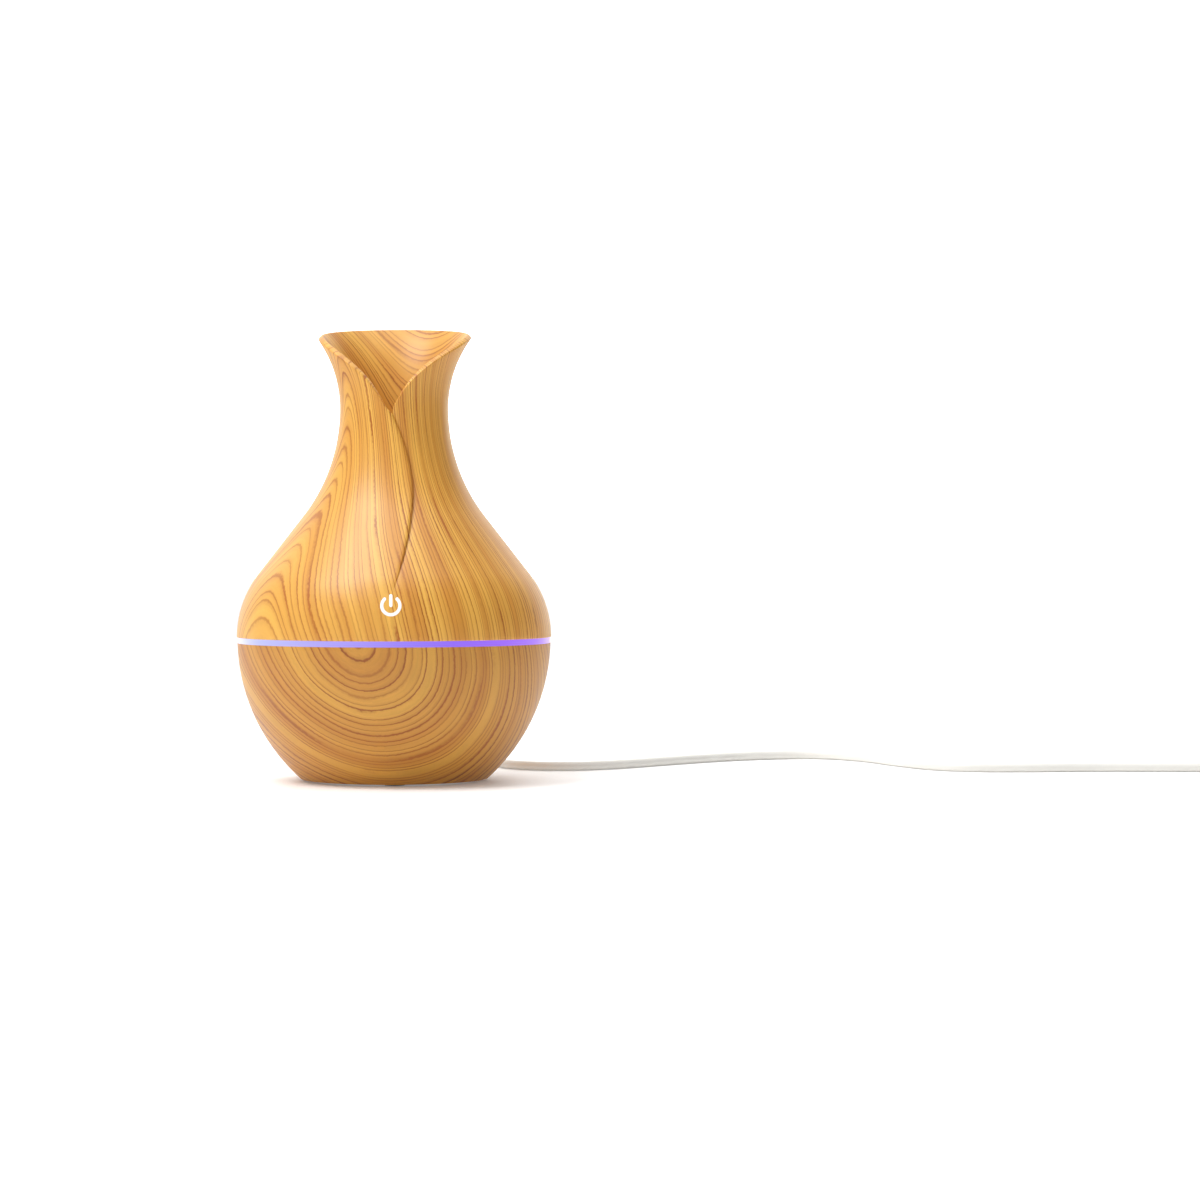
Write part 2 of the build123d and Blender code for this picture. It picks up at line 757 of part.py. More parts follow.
def wires(starts, first_step, places_x):
    """A pair of insulated wires: a straight start, a bend, and straight into the header."""
    with BuildPart() as pair:
        for start, x in zip(starts, places_x):
            end = (x, board_front_y, board_top + connector_height / 2)
            after_start = tuple(place + step for place, step in zip(start, first_step))
            before_end = (x, board_front_y - wire_run, end[2])
            with BuildLine() as route:
                FilletPolyline(start, after_start, before_end, end, radius=wire_bend)
            with BuildSketch(Plane(origin=route.line @ 0, z_dir=route.line % 0)):
                Circle(wire_radius)
            sweep(path=route.line)
    return pair.part


disc_drop = disc_z - retainer_z + disc_wire_drop
disc_wires_x = [connector_x - 2 * wire_pitch, connector_x - wire_pitch]
disc_starts = [(x, 0, disc_z) for x in disc_wires_x]
save(wires(disc_starts, (0, 0, -disc_drop), disc_wires_x), "transducer_leads")

fan_wires_x = [connector_x + wire_pitch, connector_x + 2 * wire_pitch]
fan_starts = [(x, fan_y + fan_size / 2, fan_z + fan_height / 2) for x in fan_wires_x]
save(wires(fan_starts, (0, fan_wire_run, 0), fan_wires_x), "fan_leads")

# ================================================================ cover
symbol_lean = asin(symbol_rise / belly_arc_radius)
symbol_place = (
    symbol_x,
    -(belly_centre + belly_arc_radius * cos(symbol_lean)),
    seat_z + symbol_rise,
)
symbol_plane = Plane(
    origin=symbol_place,
    x_dir=(1, 0, 0),
    z_dir=(0, -cos(symbol_lean), sin(symbol_lean)),
)

with BuildPart() as power_symbol:
    with BuildSketch(symbol_plane):
        Circle(symbol_radius)
        Circle(symbol_radius - symbol_stroke, mode=Mode.SUBTRACT)
        with Locations((0, symbol_radius)):
            Rectangle(symbol_gap, 2 * symbol_radius, mode=Mode.SUBTRACT)
        with Locations((0, symbol_bar_low + symbol_bar / 2)):
            Rectangle(symbol_stroke, symbol_bar)
    extrude(amount=2 * symbol_depth, both=True)
    with BuildSketch(Plane.XZ):
        with BuildLine():
            outside = CenterArc((belly_centre, seat_z), belly_arc_radius, 0, side_angle)
            inside = CenterArc((belly_centre, seat_z), belly_arc_radius - symbol_depth, 0, side_angle)
            Line(outside @ 0, inside @ 0)
            Line(outside @ 1, inside @ 1)
        make_face()
    revolve(axis=Axis.Z, mode=Mode.INTERSECT)
save(power_symbol.part, "power_symbol")

above = rim_back_z + cut_margin
back_slope = rim_back_rise - rim_side_rise
chimney_plate_radius = neck_side(plate_z, cover_wall) - chimney_plate_gap

with BuildPart() as vase_cover:
    with BuildSketch(Plane.XZ):
        with BuildLine():
            outer_ends = cover_side(0)
            inner_ends = cover_side(cover_wall)
            Line(outer_ends[0], inner_ends[0])
            Line(outer_ends[1], inner_ends[1])
        make_face()
    revolve(axis=Axis.Z)
    with BuildSketch(Plane.XZ):
        half_ring(
            chimney_plate_radius - neck_ledge_hold,
            neck_side(plate_z, cover_wall / 2),
            plate_z,
            plate_z + neck_ledge_thickness,
        )
    revolve(axis=Axis.Z)
    # The back of the mouth rises from the side corners.
    with BuildSketch(Plane.YZ):
        Polygon(
            (0, rim_side_z),
            (2 * rim_radius, rim_side_z + 2 * back_slope),
            (2 * rim_radius, above + 2 * back_slope),
            (0, above + 2 * back_slope),
            align=None,
        )
    extrude(amount=belly_radius, both=True, mode=Mode.SUBTRACT)
    # The front lips fall in a curve from the side corners to the notch.
    with BuildSketch(Plane.XZ):
        for side in (-1, 1):
            with BuildLine():
                lip = Spline(
                    (notch_x, notch_z),
                    (notch_x + side * lip_low[0], neck_z + lip_low[1]),
                    (notch_x + side * lip_middle[0], neck_z + lip_middle[1]),
                    (side * rim_radius, rim_side_z + cover_wall / 2),
                )
                Polyline(lip @ 1, (side * belly_radius, above), (notch_x, above), lip @ 0)
            make_face()
    extrude(amount=belly_radius, mode=Mode.SUBTRACT)
    add(power_symbol.part, mode=Mode.SUBTRACT)
save(vase_cover.part, "vase_cover")

with BuildPart() as mist_chimney:
    chimney_outer = chimney_bore + chimney_wall
    bell_top = bell_z + chimney_bell_height
    with BuildSketch(Plane.XZ):
        Polygon(
            (chimney_bore, plate_z + chimney_nozzle),
            (chimney_outer, plate_z + chimney_nozzle),
            (chimney_outer, plate_z),
            (chimney_plate_radius, plate_z),
            (chimney_plate_radius, plate_z - chimney_plate_thickness),
            (chimney_outer, plate_z - chimney_plate_thickness),
            (chimney_outer, bell_top),
            (chimney_bell + chimney_wall, bell_z),
            (chimney_bell, bell_z),
            (chimney_bore, bell_top),
            align=None,
        )
    revolve(axis=Axis.Z)
save(mist_chimney.part, "mist_chimney")

# ================================================================ lead: barrel plug
plug_plane = rear.offset(plug_face_y - jack_face_y)
plug_end_y = plug_face_y + plug_length
relief_end_y = plug_end_y + relief_length

with BuildPart() as dc_barrel:
    with BuildSketch(plug_plane.offset(-barrel_length)):
        Circle(barrel_radius)
        Circle(barrel_radius - barrel_wall, mode=Mode.SUBTRACT)
    extrude(amount=barrel_length)
save(dc_barrel.part, "dc_barrel")

with BuildPart() as dc_insulator:
    with BuildSketch(plug_plane.offset(-barrel_length)):
        Circle(barrel_radius - barrel_wall)
        Circle(barrel_bore, mode=Mode.SUBTRACT)
    extrude(amount=barrel_length)
save(dc_insulator.part, "dc_insulator")

with BuildPart() as dc_plug:
    with BuildSketch(plug_plane):
        Circle(plug_radius)
    extrude(amount=plug_length)
    fillet(dc_plug.faces().sort_by(Axis.Y)[-1].edges(), plug_radius - relief_start - slip_fit)
    chamfer(dc_plug.faces().sort_by(Axis.Y)[0].edges(), part_gap)
    with BuildSketch(plug_plane.offset(plug_length)):
        Circle(relief_start)
    with BuildSketch(plug_plane.offset(plug_length + relief_length)):
        Circle(relief_end)
    loft()
save(dc_plug.part, "dc_plug")

# ================================================================ lead: cord
cord_radius = cord_diameter / 2
lying_z = cord_radius + lying_gap
coil_band = coil_turns_wide * cord_diameter / 2
coil_height = coil_turns_high * cord_diameter
entry_y = coil_middle[1] + coil_turn_radius + coil_band - cord_radius

cord_points = [
    (0.0, relief_end_y, jack_z),
    (0.4, 69.0, 9.4),
    (1.8, 84.5, 2.8),
    (17.0, 94.0, lying_z),
    (32.5, 84.5, lying_z),
    (33.0, 65.0, lying_z),
    (38.5, 45.5, lying_z),
    (54.0, 36.5, lying_z),
    (72.0, 42.5, lying_z),
    (96.0, 66.5, lying_z),
    (120.0, 86.5, lying_z),
    (147.0, 94.5, lying_z),
    (162.0, 77.5, lying_z),
    (169.0, 53.0, lying_z),
    (181.0, 26.0, lying_z),
    (203.0, 21.5, lying_z),
    (233.0, 23.5, lying_z),
    (262.0, entry_y + 0.6, lying_z),
    (coil_middle[0] - 9.0, entry_y, lying_z),
]


def turn_radius(before, corner, after):
    """The arc at a corner: a share of the shorter run over the tangent of half the turn."""
    arriving = Vector(*corner) - Vector(*before)
    leaving = Vector(*after) - Vector(*corner)
    half_turn = radians(arriving.get_angle(leaving)) / 2
    return bend_share * min(arriving.length, leaving.length) / tan(half_turn)


def cord_tube(points, name):
    """A round tube of straight runs and tangent arcs through hand-chosen points."""
    bends = [turn_radius(*points[i - 1:i + 2]) for i in range(1, len(points) - 1)]
    with BuildPart() as tube:
        with BuildLine() as route:
            if bends:
                FilletPolyline(*points, radius=bends)
            else:
                Line(*points)
        with BuildSketch(Plane(origin=route.line @ 0, z_dir=route.line % 0)):
            Circle(cord_radius)
        sweep(path=route.line)
    length = sum(piece.length for piece in route.line.edges())
    expected = pi * cord_radius**2 * length
    print(name, "length", round(length, 1), "volume over section times length",
          round(tube.part.volume / expected, 4))
    print(name, "bend radii", [round(bend, 1) for bend in bends])
    save(tube.part, name)
    return length


lying_length = cord_tube(cord_points, "power_cord")

with BuildPart() as cord_coil:
    with BuildSketch(Plane.XY.offset(lying_z - cord_radius)):
        with Locations(coil_middle):
            Circle(coil_turn_radius + coil_band)
            Circle(coil_turn_radius - coil_band, mode=Mode.SUBTRACT)
    extrude(amount=coil_height)
    fillet(cord_coil.edges().filter_by(GeomType.CIRCLE), coil_edge_round)
save(cord_coil.part, "cord_coil")
coil_length = 2 * pi * coil_turn_radius * coil_turn_count

# The last turn is on top of the coil, and leaves towards -Y, straight into the USB plug.
tail_x = coil_middle[0] + coil_turn_radius + coil_band - cord_radius
tail_start_y = coil_middle[1] - 9.0
usb_z = usb_thickness / 2
usb_relief_y = -24.0
tail_points = [
    (tail_x, tail_start_y, lying_z + coil_height - cord_diameter),
    (tail_x, usb_relief_y, usb_z),
]
tail_length = cord_tube(tail_points, "cord_tail")
print("cord length", round(lying_length + coil_length + tail_length, 1))

# ================================================================ lead: USB plug
usb_plane = Plane(origin=(tail_x, usb_relief_y, usb_z), x_dir=(1, 0, 0), z_dir=(0, -1, 0))

with BuildPart() as usb_body:
    with BuildSketch(usb_plane.offset(usb_relief_length)):
        RectangleRounded(usb_width, usb_thickness, usb_corner)
    extrude(amount=usb_length)
    fillet(usb_body.faces().sort_by(Axis.Y)[-1].edges(), usb_front_round)
    with BuildSketch(usb_plane):
        Circle(usb_relief_start)
    with BuildSketch(usb_plane.offset(usb_relief_length)):
        Circle(usb_relief_end)
    loft()
save(usb_body.part, "usb_body")

with BuildPart() as usb_shell:
    with BuildSketch(usb_plane.offset(usb_relief_length + usb_length)):
        RectangleRounded(usb_shell_width, usb_shell_thickness, usb_shell_wall)
        Rectangle(
            usb_shell_width - 2 * usb_shell_wall,
            usb_shell_thickness - 2 * usb_shell_wall,
            mode=Mode.SUBTRACT,
        )
    extrude(amount=usb_shell_length)
save(usb_shell.part, "usb_shell")

with BuildPart() as usb_tongue:
    with BuildSketch(usb_plane.offset(usb_relief_length + usb_length)):
        with Locations((0, usb_shell_thickness / 2 - usb_shell_wall - usb_tongue_thickness / 2)):
            Rectangle(usb_shell_width - 2 * usb_shell_wall, usb_tongue_thickness)
    extrude(amount=usb_shell_length - usb_tongue_setback)
save(usb_tongue.part, "usb_tongue")
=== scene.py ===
# %% [markdown]
# # An aroma diffuser shaped like a budding vase
#
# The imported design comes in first, as a fixed frame. It says where every piece is and how the
# pieces move, so that nothing here has to be measured twice. The wood-look cover gets a mesh of
# its own, because its folded petal is a soft shape that the plain design leaves out.

# %% The fixed frame
import json
import math

import bpy
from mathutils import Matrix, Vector


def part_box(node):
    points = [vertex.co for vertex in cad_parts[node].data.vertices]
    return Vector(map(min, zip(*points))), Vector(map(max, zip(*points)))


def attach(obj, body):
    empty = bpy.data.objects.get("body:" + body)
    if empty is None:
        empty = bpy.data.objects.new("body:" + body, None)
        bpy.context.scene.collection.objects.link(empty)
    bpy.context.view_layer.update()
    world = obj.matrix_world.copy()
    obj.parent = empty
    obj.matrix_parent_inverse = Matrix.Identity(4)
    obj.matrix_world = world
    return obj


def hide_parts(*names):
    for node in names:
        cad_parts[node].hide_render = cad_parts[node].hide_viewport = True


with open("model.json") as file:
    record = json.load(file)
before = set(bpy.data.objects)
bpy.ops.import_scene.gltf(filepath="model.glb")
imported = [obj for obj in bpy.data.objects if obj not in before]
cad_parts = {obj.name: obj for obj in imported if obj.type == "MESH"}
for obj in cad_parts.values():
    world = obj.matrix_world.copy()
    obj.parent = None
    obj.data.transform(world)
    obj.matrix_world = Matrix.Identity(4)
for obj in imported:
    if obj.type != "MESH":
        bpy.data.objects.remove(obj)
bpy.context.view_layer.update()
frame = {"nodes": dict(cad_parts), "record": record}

MM = 0.001
nodes = frame["nodes"]

# %% [markdown]
# ## Colours and nodes
#
# Colours are written the way a paint chart gives them, as sRGB hex, and one function turns them
# to the linear values that a shader wants. One more function adds a node to a material, with its
# settings and its links, so that each material below reads as a short list of what it is made of.


# %% Helpers for materials
def linear(code):
    """Turn an sRGB hex colour into linear red, green, blue and alpha."""
    parts = [int(code[place:place + 2], 16) / 255 for place in (0, 2, 4)]
    return (*[p / 12.92 if p <= 0.04045 else ((p + 0.055) / 1.055) ** 2.4 for p in parts], 1.0)


def add_node(tree, kind, settings=None, **sockets):
    """Add a node, set its settings, and set or link its input sockets by name or number."""
    new = tree.nodes.new(kind)
    for name, value in (settings or {}).items():
        setattr(new, name, value)
    for name, value in sockets.items():
        socket = new.inputs[int(name[1:])] if name[0] == "_" else new.inputs[name.replace("_", " ")]
        if isinstance(value, bpy.types.NodeSocket):
            tree.links.new(value, socket)
        else:
            socket.default_value = value
    return new


def start_material(name, **shader):
    """A material with its shader, whose named sockets are set."""
    material = bpy.data.materials.new(name)
    material.use_nodes = True
    tree = material.node_tree
    bsdf = tree.nodes["Principled BSDF"]
    for socket, value in shader.items():
        bsdf.inputs[socket.replace("_", " ")].default_value = value
    return material, tree, bsdf


def object_mm(tree):
    """The Object coordinates, in millimetres."""
    place = add_node(tree, "ShaderNodeTexCoord")
    return add_node(
        tree, "ShaderNodeVectorMath", {"operation": "SCALE"}, _0=place.outputs["Object"], Scale=1 / MM
    ).outputs[0]


def maths(tree, operation, *values):
    """One sum, whose values are numbers or sockets."""
    return add_node(
        tree, "ShaderNodeMath", {"operation": operation},
        **{f"_{place}": value for place, value in enumerate(values)},
    ).outputs[0]


print("helpers are ready")

# %% [markdown]
# ## Printed wood
#
# The cover and the bowl are moulded in ABS and then dipped through a floating film that carries
# a printed wood grain, and lacquered. So the grain follows the shape, the dark lines are ink
# with no depth, and the gloss is the even satin of the lacquer.
#
# On the cover the print is flat-sawn timber: nested arches that stand up the left of the vase
# and lean out over the front. Their height falls evenly with the angle from the arches' middle,
# and rounds off at the crown. 2(1 - cos of the angle) stands for the angle squared, because it
# has no seam at the back. On the bowl the print looks turned from one block, with rings about an
# axis that runs from front to back.
#
# A growth ring is pale early wood that darkens slowly into late wood, and then stops short.
# A ramp on a saw-tooth gives that, and three noises keep the rings from being even.

# %% The wood's colours and measures
EARLY_WOOD = "E2AC4C"
WARM_WOOD = "CE8F38"
LATE_WOOD = "A55C1A"
DARK_LINE = "8A4410"
BOWL_SHADE_TINT = "E6DECA"              # painted shade: a darker tint over the bowl's print, for its lower, downward-facing side
ARCH_MIDDLE = math.radians(-57)   # round the vase from the front, towards -X
DIP_MIDDLE = math.radians(150)    # inside the mouth the lines dip at the back right
DIP_RISE = 42.0
DIP_PITCH = 2.5
ARCH_LEG = 160.0                  # how fast an arch's legs fall, in mm for each radian
ARCH_CROWN = 0.18                 # how round its crown is
ARCH_BACK = 100.0                 # how much steeper the legs are at the back, in mm
ARCH_CROWDING = (75.0, 300.0)     # arches are 4 mm apart low down, and wider in the steep legs


def noise(tree, scale, detail=1.0, **place):
    """Soft noise, from 0 to 1, in one dimension when W is given and in three for a Vector."""
    kind = {"noise_dimensions": "1D" if "W" in place else "3D"}
    return add_node(tree, "ShaderNodeTexNoise", kind, Scale=scale, Detail=detail, **place).outputs["Fac"]


def blend(tree, amount, first, second, kind="MIX"):
    """Mix two colours, each a socket or an sRGB code."""
    first, second = (linear(c) if isinstance(c, str) else c for c in (first, second))
    return add_node(
        tree, "ShaderNodeMix", {"data_type": "RGBA", "blend_type": kind}, _0=amount, _6=first, _7=second,
    ).outputs[2]


def ramp(tree, value, *stops):
    """A grey ramp through stops of position and level."""
    new = add_node(tree, "ShaderNodeValToRGB", Fac=value)
    elements = new.color_ramp.elements
    elements.remove(elements[1])
    elements[0].position = stops[0][0]
    elements[0].color = (*[stops[0][1]] * 3, 1)
    for position, level in stops[1:]:
        elements.new(position).color = (*[level] * 3, 1)
    return new.outputs["Color"]


def grain(tree, rings, along, seed):
    """Colour from a field that counts growth rings, with fibres that run along them."""
    place = object_mm(tree)
    uneven = noise(tree, 0.5, W=maths(tree, "ADD", rings, seed))
    counted = maths(tree, "MULTIPLY_ADD", uneven, 1.6, rings)
    counted = maths(tree, "MULTIPLY_ADD", noise(tree, 0.04, 1.0, Vector=place), 1.0, counted)
    counted = maths(tree, "MULTIPLY_ADD", noise(tree, 0.8, 2.0, Vector=place), 0.24, counted)
    tooth = maths(tree, "FRACT", counted)
    number = maths(tree, "FLOOR", counted)
    line = ramp(
        tree, tooth, (0.0, 0.35), (0.1, 0.0), (0.5, 0.0), (0.76, 0.3), (0.88, 1.0), (0.95, 0.9), (1.0, 0.35),
    )
    chance = add_node(
        tree, "ShaderNodeTexWhiteNoise", {"noise_dimensions": "1D"}, W=maths(tree, "ADD", number, seed),
    ).outputs["Value"]
    fade = maths(tree, "MULTIPLY_ADD", noise(tree, 0.06, 1.0, Vector=place), 1.1, 0.4)
    strength = maths(tree, "MULTIPLY", maths(tree, "MULTIPLY_ADD", chance, 0.5, 0.65), fade)
    ink = maths(tree, "MULTIPLY", line, strength)
    chosen = ramp(tree, chance, (0.9, 0.0), (0.94, 0.5))
    accent = maths(tree, "MULTIPLY", maths(tree, "POWER", line, 2.0), chosen)
    drift = noise(tree, 0.22, 1.0, W=maths(tree, "ADD", counted, 2 * seed))
    band = ramp(tree, drift, (0.32, 0.0), (0.68, 1.0))
    fibres = add_node(
        tree, "ShaderNodeCombineXYZ",
        X=maths(tree, "MULTIPLY", counted, 5.0), Y=maths(tree, "MULTIPLY", along, 0.06),
    ).outputs[0]
    shade = maths(tree, "MULTIPLY_ADD", noise(tree, 1.0, 3.0, Vector=fibres), 0.36, 0.84)
    colour = blend(tree, band, EARLY_WOOD, WARM_WOOD)
    colour = blend(tree, ink, colour, LATE_WOOD)
    colour = blend(tree, accent, colour, DARK_LINE)
    grey = add_node(tree, "ShaderNodeCombineColor", Red=shade, Green=shade, Blue=shade).outputs[0]
    return blend(tree, 1.0, colour, grey, "MULTIPLY")


print("arch legs fall", ARCH_LEG, "mm a radian")


# %% Printed wood for the cover and for the bowl
def facing_turn(tree, place, turn):
    """The cosine of the angle between a point's outward direction and a turn from the front."""
    flat = add_node(tree, "ShaderNodeVectorMath", {"operation": "MULTIPLY"}, _0=place, _1=(1, 1, 0))
    outward = add_node(tree, "ShaderNodeVectorMath", {"operation": "NORMALIZE"}, _0=flat.outputs[0])
    middle = (math.sin(turn), -math.cos(turn), 0)
    return add_node(
        tree, "ShaderNodeVectorMath", {"operation": "DOT_PRODUCT"}, _0=outward.outputs[0], _1=middle,
    ).outputs["Value"]


def wood_on_cover():
    """ABS, transfer printed with flat-sawn grain, satin lacquer."""
    material, tree, bsdf = start_material("ABS printed wood, cover", Roughness=0.4, IOR=1.5)
    place = object_mm(tree)
    axes = add_node(tree, "ShaderNodeSeparateXYZ", Vector=place).outputs
    facing = facing_turn(tree, place, ARCH_MIDDLE)
    turned = maths(tree, "SUBTRACT", 1.0, facing)
    leg = maths(tree, "SQRT", maths(tree, "MULTIPLY_ADD", turned, 2.0, ARCH_CROWN))
    height = maths(tree, "MULTIPLY_ADD", leg, ARCH_LEG, axes["Z"])
    height = maths(tree, "MULTIPLY_ADD", maths(tree, "POWER", turned, 3.0), ARCH_BACK, height)
    crowded = maths(tree, "ARCTANGENT", maths(tree, "MULTIPLY", height, 1 / ARCH_CROWDING[1]))
    rings = maths(tree, "MULTIPLY", crowded, ARCH_CROWDING[0])
    tree.links.new(grain(tree, rings, axes["Z"], 3.7), bsdf.inputs["Base Color"])
    return material


def wood_on_bowl():
    """ABS, transfer printed with turned grain, satin lacquer."""
    material, tree, bsdf = start_material("ABS printed wood, bowl", Roughness=0.42, IOR=1.5)
    axes = add_node(tree, "ShaderNodeSeparateXYZ", Vector=object_mm(tree)).outputs
    # The rings' middle lies left of the front, and the wider rings lie further right.
    left = maths(tree, "MULTIPLY_ADD", axes["Z"], 0.25, axes["X"])
    up = maths(tree, "SUBTRACT", axes["Z"], 45.5)
    across = maths(tree, "MULTIPLY", left, left)
    radius = maths(tree, "SQRT", maths(tree, "ADD", across, maths(tree, "MULTIPLY", up, up)))
    # Rings are 5 mm apart in the middle, and narrow outwards, as in a grown tree.
    rings = maths(tree, "MULTIPLY", radius, maths(tree, "MULTIPLY_ADD", radius, 0.0068, 0.2))
    around = maths(tree, "MULTIPLY", maths(tree, "ARCTAN2", left, up), 20.0)
    colour = grain(tree, rings, maths(tree, "ADD", around, axes["Y"]), 8.2)
    # The bowl's grain is multiplied by a darker tint: painted shade for its lower, downward-facing side.
    tree.links.new(blend(tree, 1.0, colour, BOWL_SHADE_TINT, "MULTIPLY"), bsdf.inputs["Base Color"])
    return material


def wood_in_mouth():
    """ABS, transfer printed with flat-sawn grain that dips to the right, satin lacquer."""
    material, tree, bsdf = start_material("ABS printed wood, mouth", Roughness=0.42, IOR=1.5)
    place = object_mm(tree)
    axes = add_node(tree, "ShaderNodeSeparateXYZ", Vector=place).outputs
    facing = facing_turn(tree, place, DIP_MIDDLE)
    height = maths(tree, "MULTIPLY_ADD", facing, DIP_RISE, axes["Z"])
    rings = maths(tree, "MULTIPLY", height, 1 / DIP_PITCH)
    tree.links.new(grain(tree, rings, axes["Z"], 5.1), bsdf.inputs["Base Color"])
    return material


cover_wood = wood_on_cover()
mouth_wood = wood_in_mouth()
bowl_wood = wood_on_bowl()
print("made", cover_wood.name, "and", mouth_wood.name, "and", bowl_wood.name)

# %% [markdown]
# ## Moulded plastics, rubber and metals
#
# Each of these is one shader with a faint, fine unevenness: moulded plastic has a spark-eroded
# texture a few tenths of a millimetre across, plated steel has fine brushing, rubber has dust.


# %% Plain finishes
def moulded(name, colour, roughness, ior=1.49, grit_mm=0.35, depth=0.012, mottle=0.06, **shader):
    """A moulded or coated surface: even colour, faint mottling, and a fine texture."""
    material, tree, bsdf = start_material(name, Roughness=roughness, IOR=ior, **shader)
    place = object_mm(tree)
    cloud = add_node(tree, "ShaderNodeTexNoise", Vector=place, Scale=0.12, Detail=3.0).outputs["Fac"]
    darker = tuple(channel * (1 - mottle) for channel in linear(colour)[:3]) + (1.0,)
    tint = add_node(
        tree, "ShaderNodeMix", {"data_type": "RGBA"}, _0=cloud, _6=darker, _7=linear(colour),
    ).outputs[2]
    tree.links.new(tint, bsdf.inputs["Base Color"])
    grit = add_node(tree, "ShaderNodeTexNoise", Vector=place, Scale=1 / grit_mm, Detail=2.0).outputs["Fac"]
    bump = add_node(tree, "ShaderNodeBump", Strength=0.35, Distance=depth * MM, Height=grit)
    tree.links.new(bump.outputs[0], bsdf.inputs["Normal"])
    return material


def brushed(name, colour, roughness, brush=(1.0, 1.0, 14.0)):
    """A plated or ground metal with fine lines."""
    material, tree, bsdf = start_material(name, Metallic=1.0)
    stretch = add_node(tree, "ShaderNodeMapping", Vector=object_mm(tree), Scale=brush).outputs[0]
    lines = add_node(tree, "ShaderNodeTexNoise", Vector=stretch, Scale=1.2, Detail=3.0).outputs["Fac"]
    rough = add_node(
        tree, "ShaderNodeMapRange", Value=lines, To_Min=roughness * 0.8, To_Max=roughness * 1.25,
    ).outputs[0]
    darker = tuple(channel * 0.85 for channel in linear(colour)[:3]) + (1.0,)
    tint = add_node(
        tree, "ShaderNodeMix", {"data_type": "RGBA"}, _0=lines, _6=darker, _7=linear(colour),
    ).outputs[2]
    tree.links.new(rough, bsdf.inputs["Roughness"])
    tree.links.new(tint, bsdf.inputs["Base Color"])
    return material


finishes = {
    # Polypropylene, moulded: a waxy white with soft highlights.
    "white_plastic": moulded("White polypropylene", "EFEFEB", 0.42),
    # Screen ink: flat white.
    "symbol_ink": moulded("White screen ink", "FBFBFA", 0.5, mottle=0.02, grit_mm=0.2),
    # Synthetic rubber, moulded: dark, dull and dusty.
    "foot_rubber": moulded("Black rubber", "26262A", 0.8, grit_mm=0.5, depth=0.03, mottle=0.3),
    # Silicone, moulded: pale, soft sheen.
    "silicone": moulded("Silicone rubber", "DDDDD8", 0.55),
    # Nickel-plated steel, rolled or turned.
    "steel": brushed("Nickel-plated steel", "C9C8C4", 0.26),
    # Glass-fibre board with solder mask: green, a little glossy.
    "circuit_board": moulded("Solder mask on glass fibre", "1E6B3A", 0.35, ior=1.52, mottle=0.25),
    # ABS, moulded black with a fine texture.
    "black_plastic": moulded("Black ABS", "17181A", 0.45, ior=1.53, depth=0.02, mottle=0.15),
    # Enamelled copper wire.
    "copper": brushed("Enamelled copper", "C9743C", 0.3, brush=(1.0, 1.0, 30.0)),
    # Sintered ferrite: dark grey and matte.
    "magnet": moulded("Sintered ferrite", "3A3A3D", 0.6, mottle=0.2),
    # Silver fired on a ceramic disc.
    "disc_nickel": brushed("Silvered ceramic", "D6D3CB", 0.38, brush=(3.0, 3.0, 3.0)),
    # Shrink sleeve over an aluminium can.
    "capacitor_can": moulded("Shrink sleeve", "1C2745", 0.3, mottle=0.1),
    # Clear epoxy over a phosphor.
    "led_lens": moulded("Clear epoxy lens", "F4EFC8", 0.15, ior=1.54),
    # PVC insulation on thin wires.
    "wire_cover": moulded("Red PVC insulation", "B3201C", 0.4, ior=1.53, mottle=0.1),
    # Soft PVC on the lead: warm white with a low sheen.
    "cord_cover": moulded("White soft PVC", "ECEAE4", 0.4, ior=1.53, mottle=0.04),
}
print(len(finishes), "plain finishes")

# %% [markdown]
# ## The lit ring
#
# The ring is milky acrylic with lamps under it. What the eye gets is light of its own: violet in
# front, paler at the left end, and pinker at the right.
# A ramp along X mixes those colours.


# %% Lit acrylic
def lit_acrylic():
    """Opal acrylic, moulded, lit from below by coloured lamps."""
    material, tree, bsdf = start_material(
        "Opal acrylic, lit", Roughness=0.3, IOR=1.49, Emission_Strength=0.9, Base_Color=linear("2A2440"),
    )
    across = add_node(tree, "ShaderNodeSeparateXYZ", Vector=object_mm(tree)).outputs["X"]
    place = add_node(tree, "ShaderNodeMapRange", Value=across, From_Min=-50.0, From_Max=50.0).outputs[0]
    glow = add_node(tree, "ShaderNodeValToRGB", Fac=place)
    stops = [
        (0.0, "E4E6FF"), (0.08, "C4C9FF"), (0.25, "B6ADFF"), (0.42, "A894FF"), (0.55, "9A7EFF"),
        (0.68, "946AFF"), (0.84, "A16AFF"), (0.95, "AE7BFF"), (1.0, "C29CFF"),
    ]
    ramp = glow.color_ramp
    ramp.elements[0].position, ramp.elements[0].color = stops[0][0], linear(stops[0][1])
    ramp.elements[1].position, ramp.elements[1].color = stops[-1][0], linear(stops[-1][1])
    for position, colour in stops[1:-1]:
        ramp.elements.new(position).color = linear(colour)
    tree.links.new(glow.outputs["Color"], bsdf.inputs["Emission Color"])
    return material


finishes["light_diffuser"] = lit_acrylic()
finishes["wood_print"] = bowl_wood
print("made", finishes["light_diffuser"].name)

# %% [markdown]
# ## Finishes onto the CAD pieces
#
# The record names a material slot for each node. Every node that stays gets the finish of its
# slot. Its mesh isn't touched.

# %% Dress the CAD nodes
for subpart in frame["record"]["subparts"]:
    piece = nodes[subpart["node"]]
    piece.data.materials.clear()
    piece.data.materials.append(finishes[subpart["material_slot"]])
print("dressed", len(nodes), "nodes")

